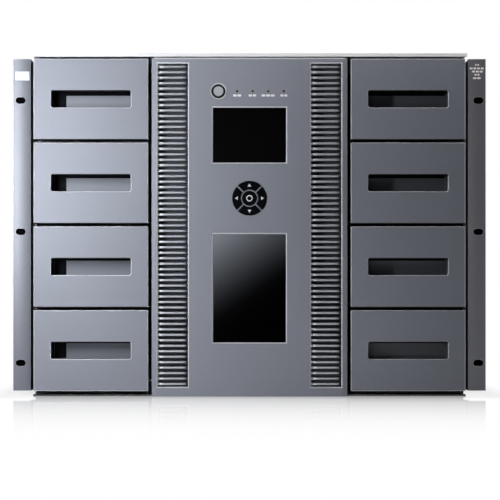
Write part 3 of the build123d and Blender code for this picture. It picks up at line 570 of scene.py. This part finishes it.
# rows of short printed dashes: right ear and under the status lights; each row is (x from, x to, z, parts)
dashes = {"thick": 0.00008, "gap": 0.0007, "corner": 0.3, "edge": 0.4}
earRows = {"front": earFront, "height": 0.0019,
           "rows": ((0.2291, 0.2332, 0.3363, 2), (0.2237, 0.2380, 0.3327, 4), (0.2261, 0.2369, 0.3295, 3),
                    (0.2286, 0.2337, 0.3263, 2), (0.2271, 0.2349, 0.3228, 2))}
lightRows = {"front": bezelFront, "height": 0.0022,
             "rows": ((-0.0165, -0.0083, 0.3028, 2), (-0.0009, 0.0068, 0.3028, 2),
                      (0.0120, 0.0253, 0.3028, 3), (0.0310, 0.0380, 0.3028, 2))}
printPale = {"color": (0.88, 0.88, 0.9), "roughness": 0.5, "grain": (1200.0, 0.05, 0.0)}
dashFinish = makeFinish("print_pale", printPale)


def addDashes(name, look):
    depths = (look["front"], look["front"] - dashes["thick"])
    corner = look["height"] * dashes["corner"]
    edge = dashes["thick"] * dashes["edge"]
    solids = []
    for start, end, height, parts in look["rows"]:
        length = (end - start - (parts - 1) * dashes["gap"]) / parts
        for part in range(parts):
            middle = start + length / 2 + part * (length + dashes["gap"])
            solids.append(flatPlate((middle, height), (length, look["height"]), corner, depths, edge))
    addPiece(name, solids, dashFinish, "case")


addDashes("ear_dashes", earRows)
addDashes("light_dashes", lightRows)


def turnedRing(center, profile, count=72):
    # a closed profile of (radius, y) points carried round a circle in the front plane
    radii, depths = np.array(profile).T
    turn = np.arange(count)[:, None] * 2.0 * np.pi / count
    points = np.stack([center[0] + np.cos(turn) * radii, np.broadcast_to(depths, (count, len(radii))),
                       center[1] + np.sin(turn) * radii], axis=-1).reshape(-1, 3)
    around, along = np.meshgrid(np.arange(count), np.arange(len(radii)), indexing="ij")
    nextAround, nextAlong = (around + 1) % count, (along + 1) % len(radii)
    rows = len(radii)
    quads = np.stack([around * rows + along, around * rows + nextAlong, nextAround * rows + nextAlong,
                      nextAround * rows + along], axis=-1).reshape(-1, 4)
    return points, quads.tolist()


# rim round the power button: a dished ring, its slope turned to the middle, in a lighter copy of the front
# paint as a painted highlight
buttonRim = {"center": buttonGapShade["center"], "inner": 0.0071, "crest": 0.0082, "outer": 0.00825,
             "rise": 0.0008}
rimHighlight = {**frontPaint, "color": (0.60, 0.61, 0.64), "metallic": 0.2, "roughness": 0.35}
rimProfile = [(buttonRim[edge], bezelFront - rise)
              for edge, rise in (("inner", 0.0), ("crest", buttonRim["rise"]), ("outer", 0.0))]
addPiece("button_rim", [turnedRing(buttonRim["center"], rimProfile)], makeFinish("rim_painted_highlight", rimHighlight),
         "case")

# near-black cups in the ear slots as painted shade of the open slots: an oblong cup, flange behind the sheet,
# floor set back
slotShadeCup = {"columns": 0.23255, "heights": (0.0334, 0.16675, 0.3001), "size": (0.0100, 0.0066),
            "corner": 0.003299, "front": -0.3802, "back": -0.3760, "floor": -0.3772,
            "wall": 0.0007, "cap": 0.002}
slotShade = {"color": (0.001, 0.001, 0.0012), "roughness": 0.7, "specular": 0.02, "grain": (1500.0, 0.3, 0.1)}


def slotCup(center, look):
    course = ((look["cap"], look["back"]), (0.0, look["back"]), (0.0, look["front"]),
              (look["wall"], look["front"]), (look["wall"], look["floor"]), (look["cap"], look["floor"]))
    loops = [(roundedLoop(*look["size"], look["corner"], inset), y) for inset, y in course]
    return ringSolid([uprightLoop(loop, center, y) for loop, y in loops])


shadeCups = [slotCup((side * slotShadeCup["columns"], height), slotShadeCup)
         for side in (-1, 1) for height in slotShadeCup["heights"]]
addPiece("slot_shade_cups", shadeCups, makeFinish("slot_painted_shade", slotShade), "case")
print("small front pieces made")

# rear: knurled thumb screws that hold the modules; profile of (radius, height, knurl) in mm from the plate
thumbScrew = {"ridges": 18, "knurl": 0.05, "count": 144,
              "profile": ((4.2, 0.0, 0), (4.2, 0.8, 0), (3.0, 1.0, 0), (3.0, 1.8, 0), (3.6, 2.0, 1),
                          (3.9, 2.4, 1), (3.9, 7.2, 1), (3.4, 7.9, 0), (1.5, 7.9, 0), (1.3, 7.2, 0)),
              "places": {"tape_drive_1": ((-0.072, 0.0471), (0.072, 0.0471)),
                         "tape_drive_2": ((-0.072, 0.1315), (0.072, 0.1315)),
                         "power_supply_1": ((-0.093, 0.0418),), "power_supply_2": ((-0.093, 0.1261),),
                         "case": ((-0.072, 0.2159), (0.072, 0.2159), (-0.072, 0.3003), (0.072, 0.3003),
                                  (0.0935, 0.0440), (0.1985, 0.0440))}}


def turnedStud(center, look):
    # a circle for each profile point, its radius swinging with the cosine of the ridges where it is knurled
    angle = np.arange(look["count"]) * 2.0 * np.pi / look["count"]
    circle = np.stack([np.cos(angle), np.sin(angle)], axis=1)
    rings = []
    for radius, height, knurl in look["profile"]:
        reach = radius * mm * (1.0 + knurl * look["knurl"] * np.cos(look["ridges"] * angle))
        rings.append(uprightLoop(circle * reach[:, None], center, moduleBack + height * mm))
    return ringSolid(rings)


for body, places in thumbScrew["places"].items():
    addPiece("thumb_screws_" + body, [turnedStud(place, thumbScrew) for place in places],
             bpy.data.materials["bright_steel"], body)

# small green lenses on the modules, low domes; two stand over each controller port
ports = (0.113, 0.135, 0.157, 0.179)
lensDome = {"ridges": 1, "knurl": 0.0, "count": 32, "shifts": (-0.004, 0.004), "overPort": 0.0355,
            "profile": ((1.7, 0.0, 0), (1.7, 0.4, 0), (1.45, 0.8, 0), (0.9, 1.1, 0), (0.35, 1.2, 0)),
            "places": {"tape_drive_1": ((0.053, 0.0711), (0.060, 0.0711)),
                       "tape_drive_2": ((0.053, 0.1555), (0.060, 0.1555)),
                       "power_supply_1": ((-0.105, 0.0638),), "power_supply_2": ((-0.105, 0.1481),)}}
lensDome["places"]["case"] = [(port + shift, lensDome["overPort"])
                              for port in ports for shift in lensDome["shifts"]]
lensGreen = {**lightLens, "color": (0.02, 0.16, 0.05)}
domeFinish = makeFinish("lens_green", lensGreen)
for body, places in lensDome["places"].items():
    addPiece("lenses_" + body, [turnedStud(place, lensDome) for place in places], domeFinish, body)

# eight spring contacts on the floor of each controller port
portContacts = {"height": 0.0235, "blades": 8, "pitch": 0.00102, "size": (0.0005, 0.0050), "corner": 0.0002,
                "edge": 0.0001, "depths": (0.36985, 0.3725)}
contactGold = {"color": (0.75, 0.55, 0.22), "metallic": 1.0, "roughness": 0.25, "grain": (900.0, 0.05, 0.0)}
steps = [(blade - (portContacts["blades"] - 1) / 2) * portContacts["pitch"]
         for blade in range(portContacts["blades"])]
blades = [flatPlate((port + step, portContacts["height"]), portContacts["size"], portContacts["corner"],
                    portContacts["depths"], portContacts["edge"])
          for port in ports for step in steps]
addPiece("port_contacts", blades, makeFinish("contact_gold", contactGold), "case")
print("small rear pieces made")

# camera opposite the bezel, low, with the frame raised by shift
camera = {"distance": 1.50, "height": 0.0905, "mmPerPixel": 1.016, "frame": 500,
          "centerPixel": (249.47, 306.8), "sensor": 36.0, "farthest": 50.0}
lens = bpy.data.cameras.new("frontCamera")
focalPixels = camera["distance"] / (camera["mmPerPixel"] * mm)
lens.sensor_width = camera["sensor"]
lens.lens = focalPixels * camera["sensor"] / camera["frame"]
lens.shift_x = (camera["frame"] / 2 - camera["centerPixel"][0]) / camera["frame"]
lens.shift_y = (camera["centerPixel"][1] - camera["frame"] / 2) / camera["frame"]
lens.clip_end = camera["farthest"]
view = bpy.data.objects.new("frontCamera", lens)
view.location = (0.0, earFront - camera["distance"], camera["height"])
view.rotation_euler = (math.radians(90.0), 0.0, 0.0)
bpy.context.scene.collection.objects.link(view)
bpy.context.scene.camera = view

# studio: white cove for the camera, for mirrors a dim room behind the camera
studio = {"fill": 0.01, "room": 0.01, "turn": (-0.45, 0.3), "white": (1.0, 1.0, 1.0, 1.0)}
world = bpy.data.worlds.new("studio")
bpy.context.scene.world = world
world.use_nodes = True
tree = world.node_tree
tree.nodes.clear()
paths = addNode(tree, "ShaderNodeLightPath").outputs
seen = calc(tree, "MAXIMUM", paths["Is Camera Ray"], paths["Is Transmission Ray"])
direction = addNode(tree, "ShaderNodeSeparateXYZ")
tree.links.new(addNode(tree, "ShaderNodeTexCoord").outputs["Generated"], direction.inputs[0])
fill = addNode(tree, "ShaderNodeBackground", {"Color": studio["white"], "Strength": studio["fill"]})
cove = addNode(tree, "ShaderNodeBackground", {"Color": studio["white"], "Strength": 1.0})
mirror = addNode(tree, "ShaderNodeBackground", {"Color": studio["white"]})
fromBehind = smoothRange(tree, direction.outputs["Y"], studio["turn"], (studio["room"], 1.0))
tree.links.new(fromBehind, mirror.inputs["Strength"])
unseen = mixShaders(tree, paths["Is Glossy Ray"], fill, mirror)
whole = mixShaders(tree, seen, unseen, cove)
tree.links.new(whole.outputs[0], addNode(tree, "ShaderNodeOutputWorld").inputs[0])


def addSoftBox(name, look, receivers=None):
    # a rectangular lamp that looks at a point and may keep its light to the receivers
    lamp = bpy.data.lights.new(name, "AREA")
    lamp.shape = "RECTANGLE"
    lamp.size, lamp.size_y = look["size"]
    lamp.energy = look["power"]
    lamp.color = look.get("color", (1.0, 1.0, 1.0))
    lamp.spread = math.radians(look.get("spread", 180.0))
    box = bpy.data.objects.new(name, lamp)
    box.location = look["place"]
    toward = Vector(look["target"]) - Vector(look["place"])
    box.rotation_euler = toward.to_track_quat("-Z", "Y").to_euler()
    box.visible_camera = False
    box.light_linking.receiver_collection = receivers
    bpy.context.scene.collection.objects.link(box)


def litGroup(name, *pieces):
    made = bpy.data.collections.new(name)
    for piece in pieces:
        made.objects.link(piece)
    return made


# one near soft box on the left, which leaves out the window
keyBox = {"size": (0.08, 0.28), "power": 1.42, "place": (-0.288, -0.755, 0.27),
          "target": (-0.288, -0.395, 0.27), "color": (0.94, 0.97, 1.0), "spread": 136.0}
windowOut = litGroup("windowOut", cadNodes["viewing_window"])
windowOut.collection_objects[0].light_linking.link_state = "EXCLUDE"
addSoftBox("keyBox", keyBox, windowOut)
# a narrow beam across the space before the front, for magazines that are pulled out
pullBox = {"size": (0.05, 0.2), "power": 0.8, "place": (-1.25, -1.62, 0.35), "target": (-0.066, -0.905, 0.18),
           "spread": 14.0}
addSoftBox("pullBox", pullBox)
# small lamps for the right ear, the edge of the cover and the lower front
earBox = {"size": (0.03, 0.30), "power": 0.54, "place": (0.13, -0.75, 0.23), "target": (0.231, -0.38, 0.20),
          "color": (1.0, 0.94, 0.87)}
addSoftBox("earBox", earBox, litGroup("earLit", cadNodes["rack_ear_right"], bpy.data.objects["ear_dashes"]))
topBox = {"size": (0.42, 0.03), "power": 0.15, "place": (0.09, -0.47, 0.42), "target": (0.09, -0.47, 0.0)}
addSoftBox("topBox", topBox)
hemBox = {"size": (0.26, 0.05), "power": 0.18, "place": (0.17, -0.66, 0.42), "target": (0.17, -0.39, 0.345),
          "color": (1.0, 0.98, 0.95)}
addSoftBox("hemBox", hemBox, litGroup("hemLit", cadNodes["top_cover"]))
lowBox = {"size": (0.34, 0.04), "power": 0.11, "place": (-0.01, -0.62, 0.012),
          "target": (-0.01, -0.395, 0.05)}
addSoftBox("lowBox", lowBox, windowOut)
# lamps for the side, the rear and the top
sideBox = {"size": (0.9, 0.6), "power": 5.0, "place": (1.3, 0.1, 0.5), "target": (0.24, 0.1, 0.17)}
addSoftBox("sideBox", sideBox)
rearBox = {"size": (1.2, 0.8), "power": 5.0, "place": (0.5, 1.9, 0.8), "target": (0.0, 0.4, 0.17)}
addSoftBox("rearBox", rearBox)
overBox = {"size": (0.8, 1.0), "power": 4.0, "place": (0.0, 0.25, 1.5), "target": (0.0, 0.25, 0.0)}
addSoftBox("overBox", overBox)


def addSheet(name, corners, finish):
    # a flat sheet of the studio and the empty node tree of its material
    mesh = bpy.data.meshes.new(name)
    mesh.from_pydata(corners, [], [(0, 1, 2, 3)])
    sheet = bpy.data.objects.new(name, mesh)
    bpy.context.scene.collection.objects.link(sheet)
    material = bpy.data.materials.new(finish)
    material.use_nodes = True
    material.node_tree.nodes.clear()
    mesh.materials.append(material)
    return sheet, material.node_tree


# card behind the camera that only mirrors see: the square of a slope falling to the right and down
card = {"y": -2.4, "x": (-0.5, 0.5), "z": (-0.2, 0.285), "level": 0.476, "corner": (-0.0765, 0.255),
        "slopes": (-1.66, 2.39), "strength": 20.8, "color": (0.82, 0.88, 1.0)}
cardCorners = [(card["x"][right], card["y"], card["z"][up]) for right, up in ((0, 0), (1, 0), (1, 1), (0, 1))]
cardObject, tree = addSheet("card", cardCorners, "cardGlow")
for ray in ("camera", "diffuse", "transmission", "volume_scatter", "shadow"):
    setattr(cardObject, "visible_" + ray, False)
place = objectPlace(tree)
rise = [calc(tree, "MULTIPLY", calc(tree, "SUBTRACT", place[axis], corner), slope)
        for axis, corner, slope in zip("XZ", card["corner"], card["slopes"])]
slope = calc(tree, "MAXIMUM", calc(tree, "ADD", calc(tree, "ADD", *rise), card["level"]), 0.0)
strength = calc(tree, "MULTIPLY", calc(tree, "MULTIPLY", slope, slope), card["strength"])
glow = addNode(tree, "ShaderNodeEmission", {"Color": (*card["color"], 1.0)})
tree.links.new(strength, glow.inputs["Strength"])
tree.links.new(glow.outputs[0], addNode(tree, "ShaderNodeOutputMaterial").inputs[0])

# floor: white for the camera, a soft shadow round the footprint, before the front a fading mirror image
floor = {"half": 6.0, "front": -1.25, "reach": (0.1, 0.55), "gloss": 0.55, "bend": 2.5, "roughness": 0.05,
         "shadow": 0.35, "shadowGrey": (0.9, 0.9, 0.9, 1.0), "footprint": (0.235, 0.39),
         "mirror": (-0.38, -0.26), "border": 0.05, "bounce": (0.8, 0.8, 0.8, 1.0)}
floorCorners = [(side * floor["half"], y, 0.0) for side, y in ((-1, floor["front"]), (1, floor["front"]),
                                                               (1, floor["half"]), (-1, floor["half"]))]
floorObject, tree = addSheet("floor", floorCorners, "floorWhite")
paths = addNode(tree, "ShaderNodeLightPath").outputs
seen = calc(tree, "MAXIMUM", paths["Is Camera Ray"], paths["Is Glossy Ray"])
seen = calc(tree, "MAXIMUM", seen, paths["Is Transmission Ray"])
place = objectPlace(tree)
beside = [calc(tree, "SUBTRACT", calc(tree, "ABSOLUTE", place[axis]), half)
          for axis, half in zip("XY", floor["footprint"])]
shares = [calc(tree, "DIVIDE", gap, reach) for gap, reach in zip(beside, floor["reach"])]
away = calc(tree, "MAXIMUM", *shares, clamp=True)
ahead = smoothRange(tree, place["Y"], floor["mirror"], (1.0, 0.0))
falling = calc(tree, "POWER", calc(tree, "SUBTRACT", 1.0, away), floor["bend"])
shown = calc(tree, "MULTIPLY", ahead, paths["Is Camera Ray"])
dying = calc(tree, "MULTIPLY", calc(tree, "MULTIPLY", falling, floor["gloss"]), shown)
close = smoothRange(tree, calc(tree, "MAXIMUM", *beside), (0.0, floor["border"]), (floor["shadow"], 0.0))
matt = addNode(tree, "ShaderNodeBsdfDiffuse", {"Color": floor["bounce"]})
shadowed = addNode(tree, "ShaderNodeBsdfDiffuse", {"Color": floor["shadowGrey"]})
glow = addNode(tree, "ShaderNodeEmission", {"Strength": 1.0})
shine = addNode(tree, "ShaderNodeBsdfGlossy", {"Color": studio["white"], "Roughness": floor["roughness"]})
white = mixShaders(tree, close, glow, shadowed)
glossy = mixShaders(tree, dying, white, shine)
whole = mixShaders(tree, seen, matt, glossy)
tree.links.new(whole.outputs[0], addNode(tree, "ShaderNodeOutputMaterial").inputs[0])
print("studio set")

bpy.context.scene.view_settings.view_transform = "Standard"
